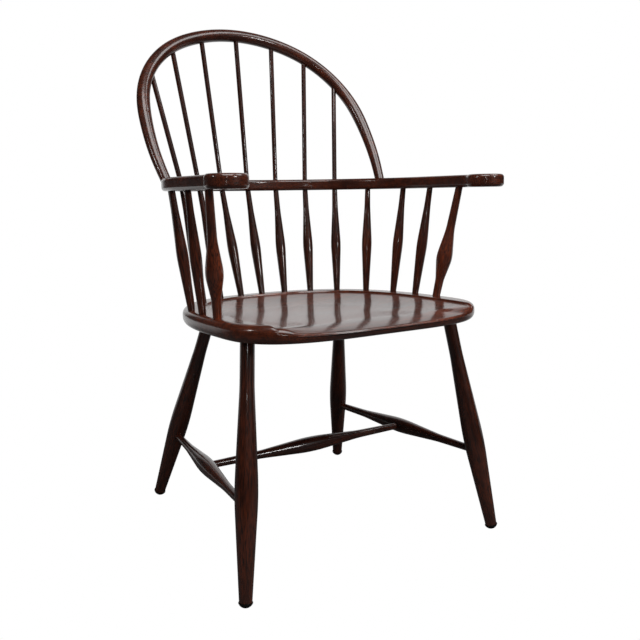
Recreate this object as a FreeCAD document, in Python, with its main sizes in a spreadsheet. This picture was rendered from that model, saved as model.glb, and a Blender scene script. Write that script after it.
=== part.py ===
import FreeCAD, Part
import math
import os

import Sketcher
from FreeCAD import Placement, Rotation, Vector

# Sack-back armchair with a carved plank seat, turned legs and spindles, a flat arm rail
# bent round the back and a leaning bow above it.
# Millimetres. The chair stands on z = 0 and faces -Y. X is zero on its centre plane.
# Y is zero midway between the front of the seat and the back of the bow.

doc = FreeCAD.newDocument("sack_back_armchair")
sheet = doc.addObject("Spreadsheet::Sheet", "Sizes")

# Driving dimensions: name and value. Widths and places are over the whole chair,
# heights are above the floor unless the name says otherwise.
SIZES = (
    ("seat_forward_shift", 26.45),
    ("seat_width", 518.0),
    ("seat_back_reach", 232.0),
    ("seat_front_reach", 276.0),
    ("seat_widest_forward", 90.0),
    ("seat_back_fullness", 2.5),
    ("seat_front_fullness", 3.45),
    ("seat_thickness", 32.0),
    ("seat_deck_height", 449.0),
    ("seat_fall", 3.1),
    ("seat_top_round", 13.0),
    ("seat_under_round", 14.0),
    ("gutter_distance", 40.0),
    ("gutter_depth", 3.5),
    ("bowl_depth", 12.5),
    ("bowl_run_in", 150.0),
    ("bowl_front_rise", 5.0),
    ("corner_run_in", 40.0),
    ("scoop_past_edge", 40.0),
    ("corner_angle", 107.0),
    ("scoop_angle", 143.0),
    ("front_roll_width", 30.0),
    ("front_roll_drop", 6.0),
    ("glue_line", 0.1),
    ("socket_end_gap", 0.5),
    ("front_foot_width", 550.1),
    ("front_foot_forward", 254.5),
    ("front_top_width", 439.6),
    ("front_top_forward", 164.2),
    ("back_foot_width", 472.5),
    ("back_foot_behind", 254.8),
    ("back_top_width", 315.8),
    ("back_top_behind", 132.2),
    ("leg_foot_diameter", 22.2),
    ("leg_swell_diameter", 41.2),
    ("leg_swell_length", 176.0),
    ("leg_swell_round", 700.0),
    ("leg_neck_diameter", 25.4),
    ("leg_neck_length", 350.0),
    ("leg_neck_round", 500.0),
    ("leg_top_diameter", 25.2),
    ("leg_tenon_length", 12.0),
    ("glide_diameter", 24.4),
    ("glide_dome_height", 8.0),
    ("glide_rim_height", 1.6),
    ("glide_flat_depth", 0.5),
    ("glide_nail_diameter", 3.0),
    ("glide_nail_length", 14.0),
    ("stretcher_front_height", 158.0),
    ("stretcher_back_height", 147.0),
    ("stretcher_end_diameter", 14.0),
    ("stretcher_tenon_length", 20.0),
    ("stretcher_waist_diameter", 16.6),
    ("stretcher_waist_round", 300.0),
    ("stretcher_swell_diameter", 33.0),
    ("stretcher_swell_length", 230.0),
    ("stretcher_swell_round", 440.0),
    ("stretcher_axis_gap", 2.0),
    ("rail_radius", 268.8),
    ("rail_width", 25.0),
    ("rail_thickness", 24.0),
    ("rail_height", 681.0),
    ("rail_fall", 1.8),
    ("rail_edge_round", 6.5),
    ("hand_diameter", 70.0),
    ("hand_forward", 199.6),
    ("hand_neck_round", 22.0),
    ("stump_seat_angle", 92.0),
    ("stump_edge_distance", 15.2),
    ("stump_rail_distance", 553.0),
    ("stump_foot_diameter", 15.6),
    ("stump_ankle_diameter", 17.4),
    ("stump_ankle_length", 35.0),
    ("stump_ankle_round", 60.0),
    ("stump_swell_diameter", 33.2),
    ("stump_swell_length", 80.0),
    ("stump_swell_round", 80.0),
    ("stump_neck_diameter", 17.2),
    ("stump_neck_length", 137.0),
    ("stump_neck_round", 150.0),
    ("stump_head_diameter", 14.0),
    ("spindle_foot_diameter", 13.2),
    ("spindle_swell_diameter", 22.6),
    ("spindle_swell_length", 104.0),
    ("spindle_swell_round", 300.0),
    ("spindle_neck_diameter", 13.2),
    ("spindle_neck_length", 184.0),
    ("spindle_neck_round", 300.0),
    ("spindle_rail_diameter", 11.6),
    ("spindle_top_diameter", 10.2),
    ("spindle_past_bow_middle", 3.0),
    ("seat_tenon_length", 13.0),
    ("rail_tenon_length", 14.0),
    ("bow_diameter", 25.8),
    ("bow_shoulder_diameter", 26.0),
    ("bow_foot_diameter", 20.3),
    ("bow_lean", 33.6),
    ("bow_rise", 381.5),
    ("bow_crown_radius", 303.0),
    ("bow_crown_half_angle", 24.5),
    ("bow_shoulder_radius", 222.1),
    ("bow_shoulder_angle", 83.0),
    ("bow_foot_angle", 66.9),
    ("bow_tenon_depth", 6.0),
    ("bow_section_spacing", 45.0),
)

# Long spindles from the centre outwards: angle of the hole in the seat round from the back
# and its distance from the edge, angle of the hole in the rail, and distance from the centre
# plane at the bow.
LONG_SPINDLES = (
    ("centre", 0.0, 28.0, 0.0, 0.0),
    ("inner", 10.6, 31.0, 14.4, 84.7),
    ("middle", 22.3, 33.0, 28.8, 159.0),
    ("outer", 34.2, 28.0, 43.3, 219.5),
)

# Short spindles from the back forwards: angle of the hole in the seat round from the back
# and its distance from the edge, and distance of the hole in the rail along it from its
# middle.
SHORT_SPINDLES = (
    ("back", 47.6, 18.0, 282.0),
    ("middle", 61.9, 13.0, 377.0),
    ("front", 76.5, 14.9, 462.6),
)

for row, (name, value) in enumerate(SIZES, start=1):
    sheet.set("A%d" % row, name.replace("_", " "))
    sheet.set("B%d" % row, str(value))
    sheet.setAlias("B%d" % row, name)
doc.recompute()


class Size:
    """A number from the sheet together with the expression that binds a dimension to it."""

    def __init__(self, value, text):
        self.value = value
        self.text = text

    def joined(self, sign, other, value):
        text = other.text if isinstance(other, Size) else repr(float(other))
        return Size(value, "(%s %s %s)" % (self.text, sign, text))

    def __add__(self, other):
        return self.joined("+", other, self.value + number(other))

    def __sub__(self, other):
        return self.joined("-", other, self.value - number(other))

    def __mul__(self, other):
        return self.joined("*", other, self.value * number(other))

    def __truediv__(self, other):
        return self.joined("/", other, self.value / number(other))


def number(item):
    """The plain number of a Size or of a number."""
    return item.value if isinstance(item, Size) else float(item)


def size(name):
    """The named cell of the sheet as a Size."""
    return Size(float(sheet.get(name)), "Sizes." + name)


def mm(name):
    """The named cell of the sheet as a plain number."""
    return float(sheet.get(name))


def length(value):
    """A worked-out length, such as the distance between two joints, as a Size."""
    return Size(value, repr(float(value)))


def origin_plane(body, role):
    """The plane of the body's own origin that has this role."""
    for feature in body.Origin.OriginFeatures:
        if feature.Role == role:
            return feature
    raise ValueError("no plane " + role)


def new_sketch(body, name, role):
    sketch = body.newObject("Sketcher::SketchObject", name)
    sketch.AttachmentSupport = [(origin_plane(body, role), "")]
    sketch.MapMode = "FlatFace"
    return sketch


def bind(sketch, name, kind, first, *rest):
    """Add a constraint whose last value is a Size, name it and bind it to the sheet."""
    *place, amount = (first,) + rest
    index = sketch.addConstraint(Sketcher.Constraint(kind, *place, number(amount)))
    sketch.renameConstraint(index, name)
    sketch.setExpression("Constraints." + name, amount.text)
    return index


def link(sketch, kind, *places):
    sketch.addConstraint(Sketcher.Constraint(kind, *places))


ORIGIN = (-1, 1)
ACROSS = -1
AXIS = -2
START = 1
END = 2


def turned_profile(sketch, corners, rounds):
    """Half outline of a turned piece. corners are (radius, height) pairs from the bottom,
    which lies on the sketch's horizontal axis, and rounds are the radii that ease each
    corner between the first and the last, or None for a sharp one."""
    points = [Vector(number(r), number(h), 0) for r, h in corners]
    rounds = [None] + list(rounds) + [None]
    leave = list(points)
    enter = list(points)
    for i, ease in enumerate(rounds):
        if ease is None:
            continue
        back = (points[i - 1] - points[i]).normalize()
        ahead = (points[i + 1] - points[i]).normalize()
        turn = math.pi - back.getAngle(ahead)
        cut = number(ease) * math.tan(turn / 2)
        enter[i] = points[i] + back * cut
        leave[i] = points[i] + ahead * cut
    base = sketch.addGeometry(Part.LineSegment(Vector(0, 0, 0), points[0]))
    link(sketch, "Coincident", base, START, *ORIGIN)
    link(sketch, "PointOnObject", base, END, ACROSS)
    bind(sketch, "radius_0", "DistanceX", base, START, base, END, corners[0][0])
    before = (base, END)
    last = len(points) - 1
    for i in range(1, last + 1):
        side = sketch.addGeometry(Part.LineSegment(leave[i - 1], enter[i]))
        if rounds[i - 1] is None:
            link(sketch, "Coincident", before[0], before[1], side, START)
        else:
            link(sketch, "Tangent", before[0], before[1], side, START)
            link(sketch, "PointOnObject", mark, START, side)
        if i == last or rounds[i] is None:
            bind(sketch, "radius_%d" % i, "DistanceX", *ORIGIN, side, END, corners[i][0])
            bind(sketch, "height_%d" % i, "DistanceY", *ORIGIN, side, END, corners[i][1])
            before = (side, END)
            continue
        mark = sketch.addGeometry(Part.Point(points[i]), True)
        bind(sketch, "radius_%d" % i, "DistanceX", *ORIGIN, mark, START, corners[i][0])
        bind(sketch, "height_%d" % i, "DistanceY", *ORIGIN, mark, START, corners[i][1])
        link(sketch, "PointOnObject", mark, START, side)
        arc, first, second = corner_arc(sketch, enter[i], points[i], leave[i], number(rounds[i]))
        bind(sketch, "round_%d" % i, "Radius", arc, rounds[i])
        link(sketch, "Tangent", side, END, arc, first)
        before = (arc, second)
    top = sketch.addGeometry(Part.LineSegment(points[-1], Vector(0, points[-1].y, 0)))
    link(sketch, "Coincident", before[0], before[1], top, START)
    link(sketch, "PointOnObject", top, END, AXIS)
    link(sketch, "Horizontal", top)
    core = sketch.addGeometry(Part.LineSegment(Vector(0, points[-1].y, 0), Vector(0, 0, 0)))
    link(sketch, "Coincident", top, END, core, START)
    link(sketch, "Coincident", core, END, base, START)


def corner_arc(sketch, enter, corner, leave, radius):
    """Arc of this radius that touches both sides of a corner, and which of its ends lies
    at each side."""
    middle = ((enter + leave) * 0.5 - corner).normalize()
    reach = math.hypot(radius, (enter - corner).Length)
    centre = corner + middle * reach
    start = math.atan2(enter.y - centre.y, enter.x - centre.x)
    stop = math.atan2(leave.y - centre.y, leave.x - centre.x)
    counter = (enter - centre).cross(leave - centre).z > 0
    circle = Part.Circle(centre, Vector(0, 0, 1), radius)
    if counter:
        return sketch.addGeometry(Part.ArcOfCircle(circle, start, stop)), START, END
    return sketch.addGeometry(Part.ArcOfCircle(circle, stop, start)), END, START


def along(start, end):
    """Placement that carries a piece turned about Z onto the line from start to end."""
    return Placement(start, Rotation(Vector(0, 0, 1), end - start))


def turned_piece(name, corners, rounds, start, end):
    """Body revolved about its own Z axis and laid along the line from start to end."""
    body = doc.addObject("PartDesign::Body", name)
    profile = new_sketch(body, name + "_profile", "XZ_Plane")
    turned_profile(profile, corners, rounds)
    turning = body.newObject("PartDesign::Revolution", name + "_turning")
    turning.Profile = profile
    turning.ReferenceAxis = (profile, ["V_Axis"])
    turning.Angle = 360.0
    profile.Visibility = False
    body.Placement = along(start, end)
    return body


def round_bar(name, radius, reach, start, end):
    """Cylinder of this radius and length, from start towards end."""
    bar = doc.addObject("Part::Cylinder", name)
    bar.setExpression("Radius", radius.text)
    bar.setExpression("Height", reach.text)
    bar.Placement = along(start, end)
    return bar


def cut_from(name, piece, tools):
    """The piece with all the tools cut from it."""
    if not tools:
        return piece
    tool = tools[0]
    if len(tools) > 1:
        tool = doc.addObject("Part::Compound", name + "_cutters")
        tool.Links = tools
    cut = doc.addObject("Part::Cut", name + "_bored")
    cut.Base = piece
    cut.Tool = tool
    return cut


PARTS = []


def finished(name, piece):
    """Give the piece its own label and list it for writing."""
    piece.Label = name
    PARTS.append(piece)


glue = size("glue_line")

# Places in the chair's frame: the seat and the rail share one centre, in front of the origin.
centre_y = -mm("seat_forward_shift")
fall = math.tan(math.radians(mm("seat_fall")))
rail_fall = math.tan(math.radians(mm("rail_fall")))


def deck_height(y):
    """Height of the flat spindle deck of the seat at this y."""
    return mm("seat_deck_height") - (y - centre_y) * fall


def under_height(y):
    return deck_height(y) - mm("seat_thickness")


def rail_plane(x, y):
    """Point of the rail's middle plane above (x, y)."""
    return Vector(x, y, mm("rail_height") - (y - centre_y) * rail_fall)


def outline_radius(angle):
    """Distance from the seat's widest place to its edge, at this angle in degrees round from
    the back. Each half is a superellipse, |x/a|^n + |y/b|^n = 1, fuller at the front."""
    turn = math.radians(angle)
    middle = mm("seat_widest_forward")
    if math.cos(turn) >= 0:
        depth = mm("seat_back_reach") + middle
        fullness = mm("seat_back_fullness")
    else:
        depth = mm("seat_front_reach") - middle
        fullness = mm("seat_front_fullness")
    across = abs(math.sin(turn)) * 2 / mm("seat_width")
    along_seat = abs(math.cos(turn)) / depth
    return (across ** fullness + along_seat ** fullness) ** (-1 / fullness)


def seat_point(angle, radius):
    """Point of the seat's own plane at this angle and distance from its widest place."""
    turn = math.radians(angle)
    return Vector(radius * math.sin(turn), radius * math.cos(turn) - mm("seat_widest_forward"), 0)


def on_deck(angle, inward):
    """Point on the deck at this angle round from the back, this far inside the outline."""
    point = seat_point(angle, outline_radius(angle) - inward)
    point.y += centre_y
    point.z = deck_height(point.y)
    return point


def on_rail(distance):
    """Point of the rail's middle line at this distance along it from its middle: half a
    circle round the back, then straight forward. A minus sign is the sitter's right."""
    radius = mm("rail_radius")
    reach = abs(distance)
    angle = min(reach / radius, math.pi / 2)
    x = radius * math.sin(angle)
    y = centre_y + radius * math.cos(angle)
    y -= max(0.0, reach - radius * math.pi / 2)
    return rail_plane(math.copysign(x, distance), y)


SIDES = (("right", -1), ("left", 1))


# Bow, bent from one round bar. Its middle line is worked out in the leaning plane, with x
# across and y up the slope from the rail's middle plane.
lean = math.radians(mm("bow_lean"))
bow_foot = on_rail(math.radians(mm("bow_foot_angle")) * mm("rail_radius"))
crown = mm("bow_crown_radius")
crown_half = math.radians(mm("bow_crown_half_angle"))
crown_centre = Vector(0, mm("bow_rise") - crown, 0)
shoulder = mm("bow_shoulder_radius")
shoulder_end = math.radians(mm("bow_shoulder_angle"))


def round_from(centre, radius, angle):
    """Point of the leaning plane on this circle, angle measured from straight up."""
    return centre + Vector(math.sin(angle), math.cos(angle), 0) * radius


shoulder_centre = round_from(crown_centre, crown - shoulder, crown_half)


def bow_point(flat):
    """Point of the leaning plane in the chair's frame."""
    rise = Vector(0, math.sin(lean), math.cos(lean)) * flat.y
    return Vector(flat.x, bow_foot.y, bow_foot.z) + rise


def bow_at(x):
    """Point of the bow's middle line at this distance from the centre plane."""
    joint = round_from(crown_centre, crown, crown_half)
    if abs(x) <= joint.x:
        return bow_point(Vector(x, crown_centre.y + math.sqrt(crown ** 2 - x ** 2), 0))
    across = abs(x) - shoulder_centre.x
    return bow_point(Vector(x, shoulder_centre.y + math.sqrt(shoulder ** 2 - across ** 2), 0))


# The lowest arc leaves the shoulder arc smoothly and runs into a straight foot that enters
# the rail. It touches the two sides of one corner at the same distance from it.
side = round_from(shoulder_centre, shoulder, shoulder_end)
down = Vector(math.cos(shoulder_end), -math.sin(shoulder_end), 0)
foot = Vector(bow_foot.x, 0, 0)
straight_foot = (mm("rail_thickness") / 2 + 2.0) / math.cos(lean)
gap = side - foot
reach = (straight_foot ** 2 - gap.dot(gap)) / (2 * (down.dot(gap) - straight_foot))
corner = side + down * reach
inward = (foot - corner).normalize()
knee = corner + inward * reach
turn = down.getAngle(inward)
low_end = shoulder_end + turn
low_radius = reach / math.tan(turn / 2)
low_centre = round_from(side, -low_radius, shoulder_end)
tip = foot + inward * (mm("bow_tenon_depth") / math.cos(lean))


def bow_stations():
    """Sections of the bow from the tip of one foot to the tip of the other: point of the
    leaning plane, angle of the stretch measured from straight up, and diameter."""
    full = size("bow_diameter")
    wide = size("bow_shoulder_diameter")
    thin = size("bow_foot_diameter")
    stations = [(tip, low_end, thin)]
    for centre, radius, first, last in (
        (low_centre, low_radius, low_end, shoulder_end),
        (shoulder_centre, shoulder, shoulder_end, crown_half),
        (crown_centre, crown, crown_half, 0.0),
    ):
        steps = math.ceil(radius * (first - last) / mm("bow_section_spacing"))
        for i in range(steps if last else steps + 1):
            angle = first + (last - first) * i / steps
            if angle > shoulder_end:
                diameter = wide + (thin - wide) * ((angle - shoulder_end) / turn)
            else:
                diameter = full + (wide - full) * (angle / shoulder_end)
            stations.append((round_from(centre, radius, angle), angle, diameter))
    far = [(Vector(-flat.x, flat.y, 0), -angle, thick) for flat, angle, thick in stations]
    return stations + far[-2::-1]


# The bow is lofted through round sections square to that line.
bow_normal = Vector(0, math.cos(lean), -math.sin(lean))
bow_rings = []
for i, (flat, angle, diameter) in enumerate(bow_stations()):
    ring = doc.addObject("Part::Circle", "bow_section_%d" % (i + 1))
    ring.setExpression("Radius", (diameter / 2).text)
    heading = bow_point(flat + Vector(-math.cos(angle), math.sin(angle), 0)) - bow_point(flat)
    turned = Rotation(bow_normal, heading.cross(bow_normal), heading, "ZXY")
    ring.Placement = Placement(bow_point(flat), turned)
    bow_rings.append(ring)
bow_bar = doc.addObject("Part::Loft", "bow_bar")
bow_bar.Sections = bow_rings
bow_bar.Solid = True
bow_bar.Ruled = False

seat_borings = []
rail_borings = []
bow_borings = []

for side_name, sign in SIDES:
    foot_end = bow_point(Vector(sign * tip.x, tip.y, 0))
    foot_top = bow_point(Vector(sign * knee.x, knee.y, 0))
    socket = size("bow_foot_diameter") / 2 + glue
    past_end = foot_end + (foot_end - foot_top).normalize() * mm("socket_end_gap")
    depth = size("rail_thickness") * 2
    rail_borings.append(round_bar(side_name + "_bow_socket", socket, depth, past_end, foot_top))


def spindle_corners(visible, above):
    """Profile of a spindle up to the rail: visible is the stretch from the deck to the
    underside of the rail and above the stretch inside it."""
    foot = size("spindle_foot_diameter") / 2
    deck = size("seat_tenon_length")
    head = size("spindle_rail_diameter") / 2
    return [
        (foot, deck * 0),
        (foot, deck),
        (size("spindle_swell_diameter") / 2, deck + size("spindle_swell_length")),
        (size("spindle_neck_diameter") / 2, deck + size("spindle_neck_length")),
        (head, deck + visible),
        (head, deck + visible + above),
    ]


spindle_rounds = [None, size("spindle_swell_round"), size("spindle_neck_round"), None]


def seat_boring(name, diameter, deck, heading):
    """Blind hole in the seat for the foot of an upright that leaves the deck here."""
    bottom = deck - heading * (mm("seat_tenon_length") + mm("socket_end_gap"))
    depth = size("seat_tenon_length") * 2
    seat_borings.append(round_bar(name, diameter / 2 + glue, depth, bottom, deck))


# Long spindles, each one stick from the seat through the rail into the bow. Below the rail
# it is turned with a swell, above it is a plain round. It springs a little at the rail.
for spot, seat_angle, edge, rail_angle, bow_x in LONG_SPINDLES:
    for side_name, sign in SIDES:
        if bow_x == 0 and sign < 0:
            continue
        name = "long_spindle_" + (spot if bow_x == 0 else spot + "_" + side_name)
        deck = on_deck(sign * seat_angle, edge)
        middle = on_rail(sign * math.radians(rail_angle) * mm("rail_radius"))
        top = bow_at(sign * bow_x)
        lower = (middle - deck).normalize()
        upper = (top - middle).normalize()
        inside = length(mm("rail_thickness") / 2 / lower.z)
        visible = length((middle - deck).Length) - inside
        below = turned_piece(
            name + "_lower",
            spindle_corners(visible, inside),
            spindle_rounds,
            deck - lower * mm("seat_tenon_length"),
            middle,
        )
        ball = doc.addObject("Part::Sphere", name + "_spring")
        ball.setExpression("Radius", (size("spindle_rail_diameter") / 2).text)
        ball.Placement = along(middle, top)
        reach = length((top - middle).Length) + size("spindle_past_bow_middle")
        above = round_bar(name + "_upper", size("spindle_top_diameter") / 2, reach, middle, top)
        stick = doc.addObject("Part::MultiFuse", name + "_stick")
        stick.Shapes = [below, ball, above]
        finished(name, stick)

        seat_boring(name + "_seat_hole", size("spindle_foot_diameter"), deck, lower)
        rail_hole = size("spindle_rail_diameter") / 2 + glue
        rail_borings.append(
            round_bar(name + "_rail_hole", rail_hole, size("rail_thickness"), middle, deck)
        )
        hollow = doc.addObject("Part::Sphere", name + "_rail_hollow")
        hollow.setExpression("Radius", rail_hole.text)
        hollow.Placement = along(middle, top)
        rail_borings.append(hollow)
        bow_hole = size("spindle_top_diameter") / 2 + glue
        rail_borings.append(
            round_bar(name + "_rail_top_hole", bow_hole, size("rail_thickness"), middle, top)
        )
        end = top + upper * (mm("spindle_past_bow_middle") + mm("socket_end_gap"))
        bow_borings.append(
            round_bar(name + "_bow_hole", bow_hole, size("bow_diameter"), end, middle)
        )


def upright(name, deck, middle, corners_of, rounds, foot, head):
    """Turned piece from a hole in the deck to a blind hole in the underside of the rail."""
    heading = (middle - deck).normalize()
    under = middle - heading * (mm("rail_thickness") / 2 / heading.z)
    visible = length((under - deck).Length)
    piece = turned_piece(
        name + "_turned",
        corners_of(visible, size("rail_tenon_length")),
        rounds,
        deck - heading * mm("seat_tenon_length"),
        middle,
    )
    finished(name, piece)
    seat_boring(name + "_seat_hole", foot, deck, heading)
    end = under + heading * (mm("rail_tenon_length") + mm("socket_end_gap"))
    rail_borings.append(
        round_bar(name + "_rail_hole", head / 2 + glue, size("rail_tenon_length") * 2, end, deck)
    )


# Short spindles, turned like the lower half of the long ones.
for spot, seat_angle, edge, rail_distance in SHORT_SPINDLES:
    for side_name, sign in SIDES:
        upright(
            "short_spindle_" + spot + "_" + side_name,
            on_deck(sign * seat_angle, edge),
            on_rail(sign * rail_distance),
            spindle_corners,
            spindle_rounds,
            size("spindle_foot_diameter"),
            size("spindle_rail_diameter"),
        )


# Arm stumps, the stout turned uprights near the front that carry the rail.
def stump_corners(visible, above):
    foot = size("stump_foot_diameter") / 2
    deck = size("seat_tenon_length")
    head = size("stump_head_diameter") / 2
    return [
        (foot, deck * 0),
        (foot, deck),
        (size("stump_ankle_diameter") / 2, deck + size("stump_ankle_length")),
        (size("stump_swell_diameter") / 2, deck + size("stump_swell_length")),
        (size("stump_neck_diameter") / 2, deck + size("stump_neck_length")),
        (head, deck + visible),
        (head, deck + visible + above),
    ]


for side_name, sign in SIDES:
    upright(
        "arm_stump_" + side_name,
        on_deck(sign * mm("stump_seat_angle"), mm("stump_edge_distance")),
        on_rail(sign * mm("stump_rail_distance")),
        stump_corners,
        [
            None,
            size("stump_ankle_round"),
            size("stump_swell_round"),
            size("stump_neck_round"),
            None,
        ],
        size("stump_foot_diameter"),
        size("stump_head_diameter"),
    )


# Legs, glides and stretchers. Each leg runs from the middle of its glide's dome to a blind
# hole in the underside of the seat.
dome = size("glide_diameter") / 2
dome_radius = (dome * dome + size("glide_dome_height") * size("glide_dome_height")) / (
    size("glide_dome_height") * 2
)
leg_start = dome_radius - size("glide_dome_height") - size("glide_rim_height")


def leg_axis(row, sign):
    """Start of the leg at the middle of its glide's dome, and its end under the seat."""
    ahead = -1 if row == "front" else 1
    foot_place = mm("front_foot_forward") if row == "front" else mm("back_foot_behind")
    top_place = mm("front_top_forward") if row == "front" else mm("back_top_behind")
    ground = Vector(sign * mm(row + "_foot_width") / 2, centre_y + ahead * foot_place, 0)
    top_y = centre_y + ahead * top_place
    top = Vector(sign * mm(row + "_top_width") / 2, top_y, under_height(top_y))
    start = ground + (top - ground) * ((dome_radius.value - mm("glide_flat_depth")) / top.z)
    return start, top


def at_height(axis, height):
    start, top = axis
    return start + (top - start) * ((height - start.z) / (top.z - start.z))


def stretcher(name, first, last):
    """Stretcher between two axes, its ends short of them, swelled in the middle."""
    heading = (last - first).normalize()
    gap = mm("stretcher_axis_gap")
    whole = length((last - first).Length) - size("stretcher_axis_gap") * 2
    end = size("stretcher_end_diameter") / 2
    waist = size("stretcher_waist_diameter") / 2
    quarter = size("stretcher_swell_length") / 2
    corners = [
        (end, whole * 0),
        (end, size("stretcher_tenon_length")),
        (waist, whole / 2 - quarter),
        (size("stretcher_swell_diameter") / 2, whole / 2),
        (waist, whole / 2 + quarter),
        (end, whole - size("stretcher_tenon_length")),
        (end, whole),
    ]
    ease = size("stretcher_waist_round")
    rounds = [None, ease, size("stretcher_swell_round"), ease, None]
    return turned_piece(name + "_turned", corners, rounds, first + heading * gap, last)


def stretcher_hole(name, axis_point, towards):
    """Blind hole for the end of a stretcher that stops short of this axis."""
    heading = (towards - axis_point).normalize()
    bottom = axis_point + heading * (mm("stretcher_axis_gap") - mm("socket_end_gap"))
    radius = size("stretcher_end_diameter") / 2 + glue
    return round_bar(name, radius, size("stretcher_tenon_length") * 1.5, bottom, towards)


floor_slab = doc.addObject("Part::Box", "floor_slab")
floor_slab.setExpression("Length", (size("front_foot_width") * 2).text)
floor_slab.setExpression("Width", (size("front_foot_width") * 2).text)
floor_slab.setExpression("Height", dome_radius.text)
slab_half = mm("front_foot_width")
floor_slab.Placement = Placement(Vector(-slab_half, -slab_half, -dome_radius.value), Rotation())

side_middles = {}
for side_name, sign in SIDES:
    axes = {row: leg_axis(row, sign) for row in ("front", "back")}
    joints = {row: at_height(axes[row], mm("stretcher_%s_height" % row)) for row in axes}
    side_middles[side_name] = (joints["front"] + joints["back"]) * 0.5
    for row in axes:
        start, top = axes[row]
        name = "%s_%s" % (row, side_name)
        heading = (top - start).normalize()
        leg_end = start - heading * leg_start.value
        visible = length((top - leg_end).Length)
        tip_radius = size("leg_top_diameter") / 2
        leg = turned_piece(
            "leg_%s_turned" % name,
            [
                (size("leg_foot_diameter") / 2, visible * 0),
                (size("leg_swell_diameter") / 2, size("leg_swell_length")),
                (size("leg_neck_diameter") / 2, size("leg_neck_length")),
                (tip_radius, visible),
                (tip_radius, visible + size("leg_tenon_length")),
            ],
            [size("leg_swell_round"), size("leg_neck_round"), None],
            leg_end,
            top,
        )
        other = joints["back" if row == "front" else "front"]
        nail = size("glide_nail_diameter") / 2
        nail_reach = size("glide_nail_length")
        nail_hole = round_bar(
            "leg_%s_nail_hole" % name,
            nail + glue,
            nail_reach + size("socket_end_gap"),
            leg_end,
            top,
        )
        side_hole = stretcher_hole("leg_%s_stretcher_hole" % name, joints[row], other)
        finished("leg_" + name, cut_from("leg_" + name, leg, [side_hole, nail_hole]))

        bottom = top + heading * (mm("leg_tenon_length") + mm("socket_end_gap"))
        seat_borings.append(
            round_bar(
                "leg_%s_seat_hole" % name,
                tip_radius + glue,
                size("leg_tenon_length") * 2,
                bottom,
                start,
            )
        )

        button = doc.addObject("Part::Sphere", "glide_%s_dome" % name)
        button.setExpression("Radius", dome_radius.text)
        base_angle = math.degrees(math.asin(1 - mm("glide_dome_height") / dome_radius.value))
        button.Angle1 = -90.0
        button.Angle2 = -base_angle
        button.Placement = along(start, top)
        rim = round_bar(
            "glide_%s_rim" % name,
            dome,
            size("glide_rim_height"),
            leg_end - heading * mm("glide_rim_height"),
            top,
        )
        shank = round_bar("glide_%s_nail" % name, nail, nail_reach, leg_end, top)
        glide = doc.addObject("Part::MultiFuse", "glide_%s_whole" % name)
        glide.Shapes = [button, rim, shank]
        finished("glide_" + name, cut_from("glide_" + name, glide, [floor_slab]))

for side_name, sign in SIDES:
    axes = {row: leg_axis(row, sign) for row in ("front", "back")}
    joints = {row: at_height(axes[row], mm("stretcher_%s_height" % row)) for row in axes}
    name = "side_stretcher_" + side_name
    bar = stretcher(name, joints["front"], joints["back"])
    opposite = side_middles["left" if side_name == "right" else "right"]
    hole = stretcher_hole(name + "_hole", side_middles[side_name], opposite)
    finished(name, cut_from(name, bar, [hole]))

finished("centre_stretcher", stretcher("centre_stretcher", side_middles["right"], side_middles["left"]))


# Arm rail, one flat band bent round the back, with a round hand at each end.
rail = doc.addObject("PartDesign::Body", "rail_body")
band = new_sketch(rail, "rail_band", "XY_Plane")
outer = size("rail_radius") + size("rail_width") / 2
inner = size("rail_radius") - size("rail_width") / 2
forward = size("hand_forward")
outer_arc = band.addGeometry(
    Part.ArcOfCircle(Part.Circle(Vector(), Vector(0, 0, 1), outer.value), 0, math.pi)
)
inner_arc = band.addGeometry(
    Part.ArcOfCircle(Part.Circle(Vector(), Vector(0, 0, 1), inner.value), 0, math.pi)
)
link(band, "Coincident", outer_arc, 3, *ORIGIN)
link(band, "Coincident", inner_arc, 3, *ORIGIN)
bind(band, "outer_radius", "Radius", outer_arc, outer)
bind(band, "inner_radius", "Radius", inner_arc, inner)
for sign, tip_end in ((1, START), (-1, END)):
    outer_foot = Vector(sign * outer.value, -forward.value, 0)
    inner_foot = Vector(sign * inner.value, -forward.value, 0)
    outside = band.addGeometry(Part.LineSegment(Vector(sign * outer.value, 0, 0), outer_foot))
    across = band.addGeometry(Part.LineSegment(outer_foot, inner_foot))
    inside = band.addGeometry(Part.LineSegment(inner_foot, Vector(sign * inner.value, 0, 0)))
    link(band, "Coincident", outside, START, outer_arc, tip_end)
    link(band, "Coincident", outside, END, across, START)
    link(band, "Coincident", across, END, inside, START)
    link(band, "Coincident", inside, END, inner_arc, tip_end)
    link(band, "PointOnObject", outside, START, ACROSS)
    link(band, "PointOnObject", inside, END, ACROSS)
    link(band, "Vertical", outside)
    link(band, "Vertical", inside)
    link(band, "Horizontal", across)
    side = "left" if sign > 0 else "right"
    bind(band, side + "_forward", "DistanceY", across, START, *ORIGIN, forward)
band_pad = rail.newObject("PartDesign::Pad", "rail_band_pad")
band_pad.Profile = band
band_pad.setExpression("Length", "Sizes.rail_thickness")
hands = new_sketch(rail, "rail_hands", "XY_Plane")
for side_name, sign in SIDES:
    centre = Vector(sign * mm("rail_radius"), -mm("hand_forward"), 0)
    disc = hands.addGeometry(Part.Circle(centre, Vector(0, 0, 1), mm("hand_diameter") / 2))
    bind(hands, side_name + "_hand", "Diameter", disc, size("hand_diameter"))
    ends = (*ORIGIN, disc, 3) if sign > 0 else (disc, 3, *ORIGIN)
    bind(hands, side_name + "_across", "DistanceX", *ends, size("rail_radius"))
    bind(hands, side_name + "_forward", "DistanceY", disc, 3, *ORIGIN, size("hand_forward"))
hand_pad = rail.newObject("PartDesign::Pad", "rail_hand_pad")
hand_pad.Profile = hands
hand_pad.setExpression("Length", "Sizes.rail_thickness")
doc.recompute()


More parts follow.
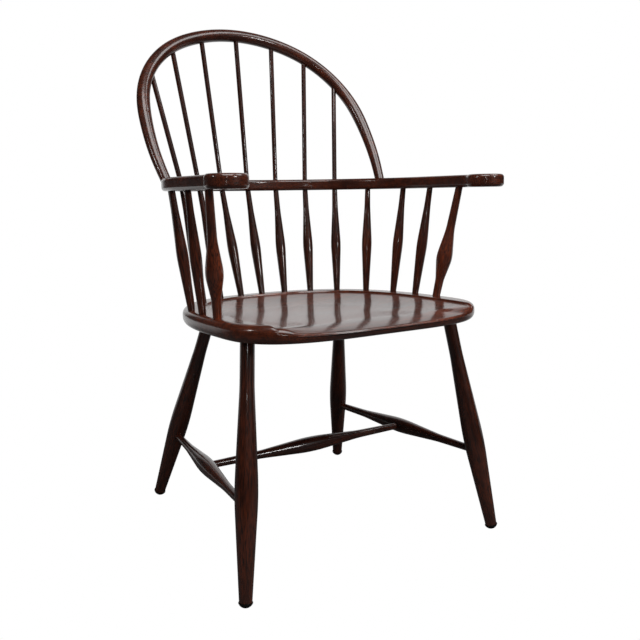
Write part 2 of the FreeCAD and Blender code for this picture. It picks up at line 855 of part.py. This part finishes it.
def edge_names(shape, wanted):
    return ["Edge%d" % (i + 1) for i, edge in enumerate(shape.Edges) if wanted(edge)]


def at_neck(edge):
    """Upright edge where the band runs into a hand."""
    low = edge.Vertexes[0].Point
    high = edge.Vertexes[-1].Point
    upright_edge = abs(low.x - high.x) < 0.01 and abs(low.y - high.y) < 0.01
    return upright_edge and low.y < -mm("hand_forward") / 2 and low.y > -mm("hand_forward")


def on_face_of_rail(edge):
    """Edge in the top or the bottom face of the rail."""
    box = edge.BoundBox
    flat_edge = box.ZLength < 0.01
    return flat_edge and min(abs(box.ZMin), abs(box.ZMin - mm("rail_thickness"))) < 0.01


necks = rail.newObject("PartDesign::Fillet", "rail_necks")
necks.Base = (hand_pad, edge_names(hand_pad.Shape, at_neck))
necks.setExpression("Radius", "Sizes.hand_neck_round")
doc.recompute()
softened = rail.newObject("PartDesign::Fillet", "rail_edges")
softened.Base = (necks, edge_names(necks.Shape, on_face_of_rail))
softened.setExpression("Radius", "Sizes.rail_edge_round")
rail_tilt = Rotation(Vector(1, 0, 0), -mm("rail_fall"))
rail_up = rail_tilt.multVec(Vector(0, 0, 1))
rail_middle = Vector(0, centre_y, mm("rail_height"))
rail.Placement = Placement(rail_middle - rail_up * (mm("rail_thickness") / 2), rail_tilt)
finished("arm_rail", cut_from("arm_rail", rail, rail_borings))

finished("bow", cut_from("bow", bow_bar, bow_borings))


# Seat, a thick plank carved into a saddle: a flat deck for the spindles round the back and
# sides, a small step down at the gutter line, a broad bowl inside it that runs out over the
# front edge. The shape is worked out in the seat's own plane, deck at z = 0.
STEP = 5
ROUND_STEPS = 4


def closed_curve(points):
    curve = Part.BSplineCurve()
    curve.interpolate(Points=points, PeriodicFlag=True)
    return Part.Wire([curve.toShape()])


def eased(amount):
    """Smooth step from 0 to 1."""
    amount = min(max(amount, 0.0), 1.0)
    return (1 - math.cos(math.pi * amount)) / 2


def past_corner(angle):
    """Nought round the back and sides, then rising to 1 where the whole scoop runs out over
    the front edge."""
    start = mm("corner_angle")
    return (abs(angle) - start) / (mm("scoop_angle") - start)


def scoop_inward(angle):
    """How far the edge of the carving lies inside the outline: one distance round the back
    and sides, then sweeping out past the front edge."""
    sweep = mm("gutter_distance") + mm("scoop_past_edge")
    return mm("gutter_distance") - sweep * eased(past_corner(angle))


def carved_depth(x, y):
    """Depth of the carving below the deck: the gutter step, which fades out at the front
    corners, deepening to the bowl, which rises again to the front, and the roll of the front
    edge. The wall of the bowl is long round the back and short at the corners."""
    ahead = y + mm("seat_widest_forward")
    angle = math.degrees(math.atan2(abs(x), ahead))
    radius = math.hypot(x, ahead)
    edge = outline_radius(angle)
    inside = edge - scoop_inward(angle) - radius
    step = mm("gutter_depth") * (1 - eased(past_corner(angle) + 0.5))
    rise = mm("bowl_front_rise") * eased(-ahead / (mm("seat_front_reach") - mm("seat_widest_forward")))
    whole = mm("gutter_depth") + mm("bowl_depth") - rise
    shorter = mm("bowl_run_in") - mm("corner_run_in")
    run_in = mm("bowl_run_in") - shorter * eased(past_corner(angle) * 2)
    depth = step + (whole - step) * eased(inside / run_in)
    near = min(max(1 - (edge - radius) / mm("front_roll_width"), 0.0), 1.4)
    return depth + mm("front_roll_drop") * eased(past_corner(angle)) * near ** 2


angles = range(0, 360, STEP)


def plank_section(inset, level):
    """Outline of the plank at this level, this far inside its widest."""
    section = doc.addObject("Part::Feature", "seat_section")
    section.Shape = closed_curve([
        seat_point(angle, outline_radius(angle) - inset) + Vector(0, 0, level)
        for angle in angles
    ])
    return section


# The plank is lofted through outlines that follow the quarter rounds of its two edges.
quarter = [math.radians(90 * i / ROUND_STEPS) for i in range(ROUND_STEPS + 1)]
under = mm("seat_under_round")
over = mm("seat_top_round")
bottom = -mm("seat_thickness")
sections = [
    plank_section(under * (1 - math.sin(turn)), bottom + under * (1 - math.cos(turn)))
    for turn in quarter
]
sections += [
    plank_section(over * (1 - math.sin(turn)), over * (math.cos(turn) - 1))
    for turn in reversed(quarter)
]
rounded = doc.addObject("Part::Loft", "seat_plank")
rounded.Sections = sections
rounded.Solid = True
rounded.Ruled = False

half = mm("seat_width") / 2 + 20
columns = 40
rows = 40
low_y = -mm("seat_front_reach") - 20
high_y = mm("seat_back_reach") + 20
grid = []
for i in range(columns + 1):
    x = -half + 2 * half * i / columns
    line = []
    for j in range(rows + 1):
        y = low_y + (high_y - low_y) * j / rows
        line.append(Vector(x, y, -carved_depth(x, y)))
    grid.append(line)
carved = Part.BSplineSurface()
carved.interpolate(grid)
bowl = doc.addObject("Part::Feature", "seat_bowl")
bowl.Shape = carved.toShape().extrude(Vector(0, 0, mm("seat_thickness")))
scoop_line = doc.addObject("Part::Feature", "seat_scoop_line")
scoop_line.Shape = closed_curve([
    seat_point(angle, outline_radius(angle) - scoop_inward((angle + 180) % 360 - 180))
    - Vector(0, 0, mm("seat_thickness"))
    for angle in angles
])
scoop = doc.addObject("Part::Extrusion", "seat_scoop")
scoop.Base = scoop_line
scoop.DirMode = "Custom"
scoop.Dir = Vector(0, 0, 1)
scoop.setExpression("LengthFwd", "Sizes.seat_thickness * 2")
scoop.Solid = True
carving = doc.addObject("Part::MultiCommon", "seat_carving")
carving.Shapes = [bowl, scoop]
saddle = doc.addObject("Part::Cut", "seat_saddle")
saddle.Base = rounded
saddle.Tool = carving
saddle.Placement = Placement(
    Vector(0, centre_y, mm("seat_deck_height")), Rotation(Vector(1, 0, 0), -mm("seat_fall"))
)
finished("seat", cut_from("seat", saddle, seat_borings))

doc.recompute()

for item in doc.Objects:
    for state in ("Invalid", "Error"):
        if state in item.State:
            raise RuntimeError("%s is %s" % (item.Name, state.lower()))

os.makedirs("parts", exist_ok=True)
for piece in PARTS:
    if piece.Shape.isNull() or not piece.Shape.isValid():
        raise RuntimeError(piece.Label + " has no sound shape")
    piece.Shape.exportStep("parts/%s.step" % piece.Label)
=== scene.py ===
import math

import bpy
import numpy as np
from mathutils import Matrix, Vector


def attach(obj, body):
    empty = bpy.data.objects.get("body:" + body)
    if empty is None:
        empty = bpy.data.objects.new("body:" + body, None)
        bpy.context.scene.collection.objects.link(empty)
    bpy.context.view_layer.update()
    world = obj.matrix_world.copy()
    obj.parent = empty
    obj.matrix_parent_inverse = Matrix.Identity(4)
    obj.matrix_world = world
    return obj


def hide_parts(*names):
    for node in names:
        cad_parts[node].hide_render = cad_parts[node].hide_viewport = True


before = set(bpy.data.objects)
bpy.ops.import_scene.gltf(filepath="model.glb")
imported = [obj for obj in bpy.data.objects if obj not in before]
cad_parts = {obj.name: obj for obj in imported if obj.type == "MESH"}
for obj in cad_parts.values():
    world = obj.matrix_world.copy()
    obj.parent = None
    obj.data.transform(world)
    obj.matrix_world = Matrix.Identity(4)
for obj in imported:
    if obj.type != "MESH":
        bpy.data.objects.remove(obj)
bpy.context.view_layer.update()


# Seat: one thick plank, sawn to an egg shape and carved into a saddle. A flat deck carries
# the uprights, a gutter line marks it off, and the dish inside runs out over the front edge
# between two blunt horns, where the edge is rolled lower.
HALF_WIDTH = 0.259
WIDEST_FORWARD = 0.090
BACK_REACH = 0.232
FRONT_REACH = 0.276
BACK_FULLNESS = 2.5
FRONT_FULLNESS = 3.45
THICKNESS = 0.032
DECK_HEIGHT = 0.449
FALL = math.radians(3.1)
SEAT_CENTRE_Y = -0.02645
TOP_ROUND = 0.013
UNDER_ROUND = 0.014
GUTTER_INSET = 0.040
GUTTER_STEP = 0.0035
GUTTER_WALL = 0.0030
GUTTER_STRIP = 0.0022
DISH_PAST_FRONT = 0.074
DISH_DEPTH = 0.0125
DISH_RUN = 0.150
FRONT_RISE = 0.006
FRONT_ROLL_WIDTH = 0.085
FRONT_ROLL_DROP = 0.009
FRONT_ROLL_FADE = 0.030
SEAT_TONE = 1.15

turns = np.linspace(0, 2 * math.pi, 600, endpoint=False)


def egg(turn, half, back, front):
    """Distance to |x/half|^n + |y/depth|^n = 1 at each angle from the back. Depth and the
    fullness n are those of the back in the rear half and of the front in the front half."""
    rear = np.cos(turn) >= 0
    depth = np.where(rear, back, front)
    n = np.where(rear, BACK_FULLNESS, FRONT_FULLNESS)
    return (np.abs(np.sin(turn) / half) ** n + np.abs(np.cos(turn) / depth) ** n) ** (-1 / n)


def smooth(amount):
    """3t^2 - 2t^3 of the amount held between 0 and 1."""
    t = np.clip(amount, 0, 1)
    return t * t * (3 - 2 * t)


rim = egg(turns, HALF_WIDTH, BACK_REACH + WIDEST_FORWARD, FRONT_REACH - WIDEST_FORWARD)
scoop = egg(
    turns,
    HALF_WIDTH - GUTTER_INSET,
    BACK_REACH + WIDEST_FORWARD - GUTTER_INSET,
    FRONT_REACH - WIDEST_FORWARD + DISH_PAST_FRONT,
)


def carved(radius):
    """Depth below the deck: the step at the gutter, plus a dish that follows 1 - (1 - t)^2
    over the run from the gutter and is a little shallower towards the front, plus the drop
    of the rolled front edge, which grows as the square of the nearness to the edge."""
    inside = scoop - radius
    t = np.clip(inside / DISH_RUN, 0, 1)
    forward = -radius * np.cos(turns) / (FRONT_REACH - WIDEST_FORWARD)
    dish = (DISH_DEPTH - FRONT_RISE * smooth(forward)) * (1 - (1 - t) ** 2)
    near = np.clip(1 - (rim - radius) / FRONT_ROLL_WIDTH, 0, 1)
    roll = FRONT_ROLL_DROP * near ** 2 * smooth((scoop - rim) / FRONT_ROLL_FADE)
    return GUTTER_STEP * smooth(inside / GUTTER_WALL) + dish + roll


# Its surface is a stack of rings: over the dish, through the gutter, across the deck, round
# the top edge, round the lower edge and in over the flat underside.
edge_round = np.clip(THICKNESS - UNDER_ROUND - 0.0005 - carved(rim), 0.005, TOP_ROUND)
gutter = np.minimum(scoop - GUTTER_WALL / 2, rim - edge_round - 0.004)
rings = [(gutter * share, -carved(gutter * share)) for share in np.linspace(0.02, 0.985, 56)]
for shift in np.linspace(-GUTTER_STRIP, GUTTER_STRIP, 9):
    rings.append((gutter + shift, -carved(gutter + shift)))
for share in np.linspace(0.15, 0.9, 5):
    reach = gutter + GUTTER_STRIP + (rim - edge_round - gutter - GUTTER_STRIP) * share
    rings.append((reach, -carved(reach)))
for angle in np.radians(np.linspace(0, 90, 12)):
    reach = rim - edge_round * (1 - math.sin(angle))
    rings.append((reach, -carved(reach) - edge_round * (1 - math.cos(angle))))
for angle in np.radians(np.linspace(0, 90, 10)):
    height = -THICKNESS + UNDER_ROUND * (1 - math.sin(angle))
    rings.append((rim - UNDER_ROUND * (1 - math.cos(angle)), np.full_like(rim, height)))
for share in np.linspace(0.9, 0.05, 10):
    rings.append(((rim - UNDER_ROUND) * share, np.full_like(rim, -THICKNESS)))
ring_reach = np.array([ring[0] for ring in rings])
ring_level = np.array([ring[1] for ring in rings])
flat_x = ring_reach * np.sin(turns)
flat_y = ring_reach * np.cos(turns) - WIDEST_FORWARD
middle = np.array([
    (0, -WIDEST_FORWARD, ring_level[0].mean()),
    (0, -WIDEST_FORWARD, -THICKNESS),
])
flat = np.vstack([np.stack([flat_x, flat_y, ring_level], axis=-1).reshape(-1, 3), middle])

# The plank is tipped to fall towards the back and set at the height of the deck.
points = np.stack(
    [
        flat[:, 0],
        SEAT_CENTRE_Y + flat[:, 1] * math.cos(FALL) + flat[:, 2] * math.sin(FALL),
        DECK_HEIGHT - flat[:, 1] * math.sin(FALL) + flat[:, 2] * math.cos(FALL),
    ],
    axis=-1,
)
count, around = len(rings), len(turns)
index = np.arange(count * around).reshape(count, around)
beside = np.roll(index, -1, axis=1)
top_middle = np.full(around, count * around)
quads = np.stack([index[:-1], beside[:-1], beside[1:], index[1:]], axis=-1).reshape(-1, 4)
top_fan = np.stack([beside[0], index[0], top_middle], axis=-1)
under_fan = np.stack([index[-1], beside[-1], top_middle + 1], axis=-1)
seat_mesh = bpy.data.meshes.new("carved_seat")
seat_mesh.from_pydata(points.tolist(), [], quads.tolist() + top_fan.tolist() + under_fan.tolist())
seat_mesh.flip_normals()
seat_mesh.shade_smooth()
seat = bpy.data.objects.new("carved_seat", seat_mesh)
bpy.context.scene.collection.objects.link(seat)

# Its finish is that of all the wood: a dark red-brown stain under a clear gloss lacquer. The
# stain sits deeper in the pores, which run along each piece, and lies in darker clouds.
STAIN_DARK = (0.022, 0.0060, 0.0034, 1)
STAIN_MID = (0.130, 0.0260, 0.0095, 1)
STAIN_RED = (0.270, 0.0520, 0.0160, 1)
PORE_SIZE = (0.0011, 0.0011, 0.030)
FIGURE_SIZE = (0.012, 0.012, 0.22)
CLOUD_SIZE = (0.06, 0.06, 0.12)
PORE_HEIGHT = 0.0001


def wood_group():
    """Node group: grain coordinates in metres, the grain along Z, to stain colour, roughness
    and height of the wood under the lacquer."""
    group = bpy.data.node_groups.new("stained_wood", "ShaderNodeTree")
    face = group.interface
    face.new_socket("Vector", in_out="INPUT", socket_type="NodeSocketVector")
    face.new_socket("Color", in_out="OUTPUT", socket_type="NodeSocketColor")
    face.new_socket("Roughness", in_out="OUTPUT", socket_type="NodeSocketFloat")
    face.new_socket("Height", in_out="OUTPUT", socket_type="NodeSocketFloat")
    nodes, links = group.nodes, group.links
    grain_in = nodes.new("NodeGroupInput")
    wood_out = nodes.new("NodeGroupOutput")

    def noise(size, detail):
        """Noise over the grain coordinates divided by a cell size on each axis."""
        divide = nodes.new("ShaderNodeVectorMath")
        divide.operation = "DIVIDE"
        links.new(grain_in.outputs["Vector"], divide.inputs[0])
        divide.inputs[1].default_value = size
        texture = nodes.new("ShaderNodeTexNoise")
        texture.inputs["Scale"].default_value = 1
        texture.inputs["Detail"].default_value = detail
        links.new(divide.outputs[0], texture.inputs["Vector"])
        return texture.outputs["Fac"]

    def spread(value, low, high):
        """Value stretched so that low becomes 0 and high becomes 1."""
        node = nodes.new("ShaderNodeMapRange")
        node.inputs["From Min"].default_value = low
        node.inputs["From Max"].default_value = high
        links.new(value, node.inputs["Value"])
        return node.outputs["Result"]

    def mix(factor, first, second):
        """First colour where the factor is 0, second where it is 1, and a blend between."""
        node = nodes.new("ShaderNodeMix")
        node.data_type = "RGBA"
        links.new(factor, node.inputs[0])
        for socket, colour in ((node.inputs[6], first), (node.inputs[7], second)):
            if isinstance(colour, bpy.types.NodeSocket):
                links.new(colour, socket)
            else:
                socket.default_value = colour
        return node.outputs[2]

    pores = spread(noise(PORE_SIZE, 2), 0.35, 0.62)
    figure = spread(noise(FIGURE_SIZE, 3), 0.35, 0.68)
    cloud = spread(noise(CLOUD_SIZE, 2), 0.10, 0.62)
    stain = mix(cloud, STAIN_DARK, mix(figure, STAIN_MID, STAIN_RED))
    links.new(mix(pores, STAIN_DARK, stain), wood_out.inputs["Color"])
    rough = nodes.new("ShaderNodeMapRange")
    links.new(cloud, rough.inputs["Value"])
    rough.inputs["To Min"].default_value = 0.30
    rough.inputs["To Max"].default_value = 0.42
    links.new(rough.outputs["Result"], wood_out.inputs["Roughness"])
    links.new(pores, wood_out.inputs["Height"])
    return group


stained_wood = wood_group()


def lacquered(name, start, end, tone):
    """Material of one wooden piece whose grain runs from start to end. The tone scales the
    stain's colour on this piece; on the stumps it is painted light, on the legs and the arm
    rail painted shade."""
    material = bpy.data.materials.new(name)
    material.use_nodes = True
    nodes, links = material.node_tree.nodes, material.node_tree.links
    shader = nodes["Principled BSDF"]
    place = nodes.new("ShaderNodeTexCoord")
    turn = nodes.new("ShaderNodeMapping")
    turn.vector_type = "TEXTURE"
    turn.inputs["Location"].default_value = start
    turn.inputs["Rotation"].default_value = (end - start).to_track_quat("Z", "Y").to_euler()
    links.new(place.outputs["Object"], turn.inputs["Vector"])
    wood = nodes.new("ShaderNodeGroup")
    wood.node_tree = stained_wood
    links.new(turn.outputs["Vector"], wood.inputs["Vector"])
    shade = nodes.new("ShaderNodeVectorMath")
    shade.operation = "SCALE"
    shade.inputs["Scale"].default_value = tone
    links.new(wood.outputs["Color"], shade.inputs[0])
    links.new(shade.outputs["Vector"], shader.inputs["Base Color"])
    links.new(wood.outputs["Roughness"], shader.inputs["Roughness"])
    bump = nodes.new("ShaderNodeBump")
    bump.inputs["Strength"].default_value = 0.25
    bump.inputs["Distance"].default_value = PORE_HEIGHT
    links.new(wood.outputs["Height"], bump.inputs["Height"])
    links.new(bump.outputs["Normal"], shader.inputs["Normal"])
    links.new(bump.outputs["Normal"], shader.inputs["Coat Normal"])
    shader.inputs["IOR"].default_value = 1.5
    shader.inputs["Specular IOR Level"].default_value = 0.3
    shader.inputs["Coat Weight"].default_value = 1.0
    shader.inputs["Coat Roughness"].default_value = 0.08
    shader.inputs["Coat IOR"].default_value = 1.5
    return material


SIDE_TO_SIDE = (Vector((0, 0, 0)), Vector((1, 0, 0)))
seat_mesh.materials.append(lacquered("seat_lacquer", *SIDE_TO_SIDE, SEAT_TONE))
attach(seat, "root")
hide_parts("seat")


# Legs: four stout turned legs, driven into the underside of the seat and splayed to the
# floor. Each is turned from a straight billet, so its grain runs from foot to top.
# Their stain colour is scaled down to 0.7: painted shade, darker than the lamps alone leave them.
LEG_PAINTED_SHADE_TONE = 0.7


def ends_of(node):
    """Middles of the lowest and the highest tenth of a piece along its longest axis."""
    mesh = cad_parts[node].data
    corners = np.empty(len(mesh.vertices) * 3)
    mesh.vertices.foreach_get("co", corners)
    corners = corners.reshape(-1, 3)
    axis = int(np.argmax(corners.max(0) - corners.min(0)))
    order = np.argsort(corners[:, axis])
    tenth = max(1, len(order) // 10)
    return Vector(corners[order[:tenth]].mean(0)), Vector(corners[order[-tenth:]].mean(0))


def lacquer_pieces(kind, tone, grain=None):
    """Lacquer each CAD piece with the kind in its name. The grain runs from one end of the
    piece to the other, unless it is given."""
    for name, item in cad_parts.items():
        if kind in name:
            start, end = grain or ends_of(name)
            item.data.materials.clear()
            item.data.materials.append(lacquered(name + "_lacquer", start, end, tone))


lacquer_pieces("leg", LEG_PAINTED_SHADE_TONE)


# Stretchers: two turned side stretchers between the front and back legs, and a centre one
# between their swells. All three have a swell at mid-length and thin tenons.
STRETCHER_TONE = 0.7
lacquer_pieces("stretcher", STRETCHER_TONE)


# Glides: pressed domes of dark plated steel, each nailed into the middle of a foot. The floor
# has scuffed them, so the gloss is broken.
GLIDE_METAL = (0.045, 0.041, 0.038, 1)
glide_steel = bpy.data.materials.new("glide_steel")
glide_steel.use_nodes = True
nodes, links = glide_steel.node_tree.nodes, glide_steel.node_tree.links
steel = nodes["Principled BSDF"]
steel.inputs["Base Color"].default_value = GLIDE_METAL
steel.inputs["Metallic"].default_value = 1.0
dome_place = nodes.new("ShaderNodeTexCoord")
scuffs = nodes.new("ShaderNodeTexNoise")
scuffs.inputs["Scale"].default_value = 420
scuffs.inputs["Detail"].default_value = 4
links.new(dome_place.outputs["Object"], scuffs.inputs["Vector"])
worn = nodes.new("ShaderNodeMapRange")
worn.inputs["To Min"].default_value = 0.28
worn.inputs["To Max"].default_value = 0.62
links.new(scuffs.outputs["Fac"], worn.inputs["Value"])
links.new(worn.outputs["Result"], steel.inputs["Roughness"])
for name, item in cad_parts.items():
    if name.startswith("glide"):
        item.data.materials.clear()
        item.data.materials.append(glide_steel)


# Arm stumps: the two stout turned uprights that hold the hands of the arm rail. Their stain
# colour is scaled up 1.6 times: painted light for the bright lamp light that falls on them.
STUMP_PAINTED_LIGHT_TONE = 1.6
lacquer_pieces("arm_stump", STUMP_PAINTED_LIGHT_TONE)


# Short spindles: three a side, turned with a low swell, glued into the deck of the seat and
# the underside of the arm rail.
SHORT_SPINDLE_TONE = 0.75
lacquer_pieces("short_spindle", SHORT_SPINDLE_TONE)


# Arm rail: one flat bar, steamed and bent round the sitter, with a rounded hand at each end.
# All the spindles and both stumps are let into it.
# Its stain colour is scaled down to 0.8: painted shade, darker than the lamps alone leave it.
RAIL_PAINTED_SHADE_TONE = 0.8
lacquer_pieces("arm_rail", RAIL_PAINTED_SHADE_TONE, SIDE_TO_SIDE)


# Bow: one round bar, steamed and bent to a hoop, leaning back, with its feet let into the
# arm rail.
BOW_TONE = 0.7
lacquer_pieces("bow", BOW_TONE, SIDE_TO_SIDE)


# Long spindles: seven thin turned rods from the deck through the arm rail into the bow. Their
# stain colour is scaled darkest, to 0.45, and they look nearly black.
LONG_SPINDLE_TONE = 0.45
lacquer_pieces("long_spindle", LONG_SPINDLE_TONE)


# Floor: plain white, and the same white wherever the camera sees it. What the lacquer mirrors
# of it is bright behind the chair and dim under and before it.
BEHIND = Vector((math.sin(math.radians(31.8)), math.cos(math.radians(31.8)), 0))
FLOOR_HALF = 6
floor_mesh = bpy.data.meshes.new("floor")
corner_signs = np.array([(-1, -1, 0), (1, -1, 0), (1, 1, 0), (-1, 1, 0)])
floor_mesh.from_pydata((corner_signs * FLOOR_HALF).tolist(), [], [(0, 1, 2, 3)])
floor = bpy.data.objects.new("floor", floor_mesh)
bpy.context.scene.collection.objects.link(floor)
floor_white = bpy.data.materials.new("floor_white")
floor_white.use_nodes = True
nodes, links = floor_white.node_tree.nodes, floor_white.node_tree.links
painted = nodes["Principled BSDF"]
painted.inputs["Base Color"].default_value = (0.10, 0.10, 0.10, 1)
painted.inputs["Roughness"].default_value = 0.9
floor_place = nodes.new("ShaderNodeTexCoord")
away = nodes.new("ShaderNodeVectorMath")
away.operation = "DOT_PRODUCT"
away.inputs[1].default_value = BEHIND
links.new(floor_place.outputs["Object"], away.inputs[0])
sweep = nodes.new("ShaderNodeMapRange")
sweep.inputs["From Min"].default_value = 0.4
sweep.inputs["From Max"].default_value = 1.4
sweep.inputs["To Max"].default_value = 0.6
links.new(away.outputs["Value"], sweep.inputs["Value"])
painted.inputs["Emission Color"].default_value = (1, 1, 1, 1)
links.new(sweep.outputs["Result"], painted.inputs["Emission Strength"])
plain = nodes.new("ShaderNodeEmission")
floor_choice = nodes.new("ShaderNodeMixShader")
floor_ray = nodes.new("ShaderNodeLightPath")
links.new(floor_ray.outputs["Is Camera Ray"], floor_choice.inputs["Fac"])
links.new(painted.outputs["BSDF"], floor_choice.inputs[1])
links.new(plain.outputs["Emission"], floor_choice.inputs[2])
links.new(floor_choice.outputs["Shader"], nodes["Material Output"].inputs["Surface"])
floor_mesh.materials.append(floor_white)


# Room: bright behind the chair, where the white backdrop stands, and dim behind the camera.
# The camera itself sees plain white all round.
room_world = bpy.data.worlds.new("room")
bpy.context.scene.world = room_world
room_world.use_nodes = True
nodes, links = room_world.node_tree.nodes, room_world.node_tree.links
nodes.clear()
direction = nodes.new("ShaderNodeTexCoord")
toward = nodes.new("ShaderNodeVectorMath")
toward.operation = "DOT_PRODUCT"
toward.inputs[1].default_value = (BEHIND + Vector((0, 0, 0.20))).normalized()
links.new(direction.outputs["Generated"], toward.inputs[0])
backdrop = nodes.new("ShaderNodeMapRange")
backdrop.interpolation_type = "SMOOTHSTEP"
backdrop.inputs["From Min"].default_value = 0.78
backdrop.inputs["From Max"].default_value = 0.90
backdrop.inputs["To Min"].default_value = 0.02
backdrop.inputs["To Max"].default_value = 0.66
links.new(toward.outputs["Value"], backdrop.inputs["Value"])
mirrored = nodes.new("ShaderNodeBackground")
links.new(backdrop.outputs["Result"], mirrored.inputs["Strength"])
seen = nodes.new("ShaderNodeBackground")
for background in (mirrored, seen):
    background.inputs["Color"].default_value = (1, 1, 1, 1)
room_choice = nodes.new("ShaderNodeMixShader")
room_ray = nodes.new("ShaderNodeLightPath")
links.new(room_ray.outputs["Is Camera Ray"], room_choice.inputs["Fac"])
links.new(mirrored.outputs["Background"], room_choice.inputs[1])
links.new(seen.outputs["Background"], room_choice.inputs[2])
world_out = nodes.new("ShaderNodeOutputWorld")
links.new(room_choice.outputs["Shader"], world_out.inputs["Surface"])


# Lamps: two large soft ones overhead, a smaller one on each side for the streaks along the
# legs and the bow, and a little one near the camera for the glints on the hand and the horn.
def soft_light(name, place, aim, width, power):
    """Square lamp at a place, turned to face its aim. Width in metres, power in watts."""
    data = bpy.data.lights.new(name, "AREA")
    data.shape = "SQUARE"
    data.size = width
    data.energy = power
    lamp = bpy.data.objects.new(name, data)
    bpy.context.scene.collection.objects.link(lamp)
    lamp.location = place
    lamp.rotation_euler = (Vector(aim) - Vector(place)).to_track_quat("-Z", "Y").to_euler()


soft_light("overhead", (-0.4, -0.9, 2.6), (0, 0, 0.5), 1.4, 30)
soft_light("over_right", (1.1, -0.7, 2.3), (0, 0, 0.5), 0.9, 12)
soft_light("right", (0.95, -2.75, 1.6), (0, 0, 0.5), 0.45, 15)
soft_light("left", (-2.3, 0.1, 1.7), (0, 0, 0.6), 0.35, 5)
soft_light("lamp", (-1.05, -2.0, 1.0), (-0.27, -0.23, 0.68), 0.12, 1.2)


# Camera: at the photographer's place, a little above the arm rail, looking slightly down.
# The view and the lens were fitted to the outlines of the chair.
lens = bpy.data.cameras.new("camera")
lens.sensor_width = 36
lens.lens = 42.975
lens.shift_x = 0.0016
camera = bpy.data.objects.new("camera", lens)
bpy.context.scene.collection.objects.link(camera)
camera.matrix_world = (
    Matrix.Translation((-0.77503, -1.31259, 0.69932))
    @ Matrix.Rotation(math.radians(-31.804), 4, "Z")
    @ Matrix.Rotation(math.radians(90 - 10.855), 4, "X")
    @ Matrix.Rotation(math.radians(0.161), 4, "Z")
)
bpy.context.scene.camera = camera
bpy.context.scene.view_settings.view_transform = "Standard"
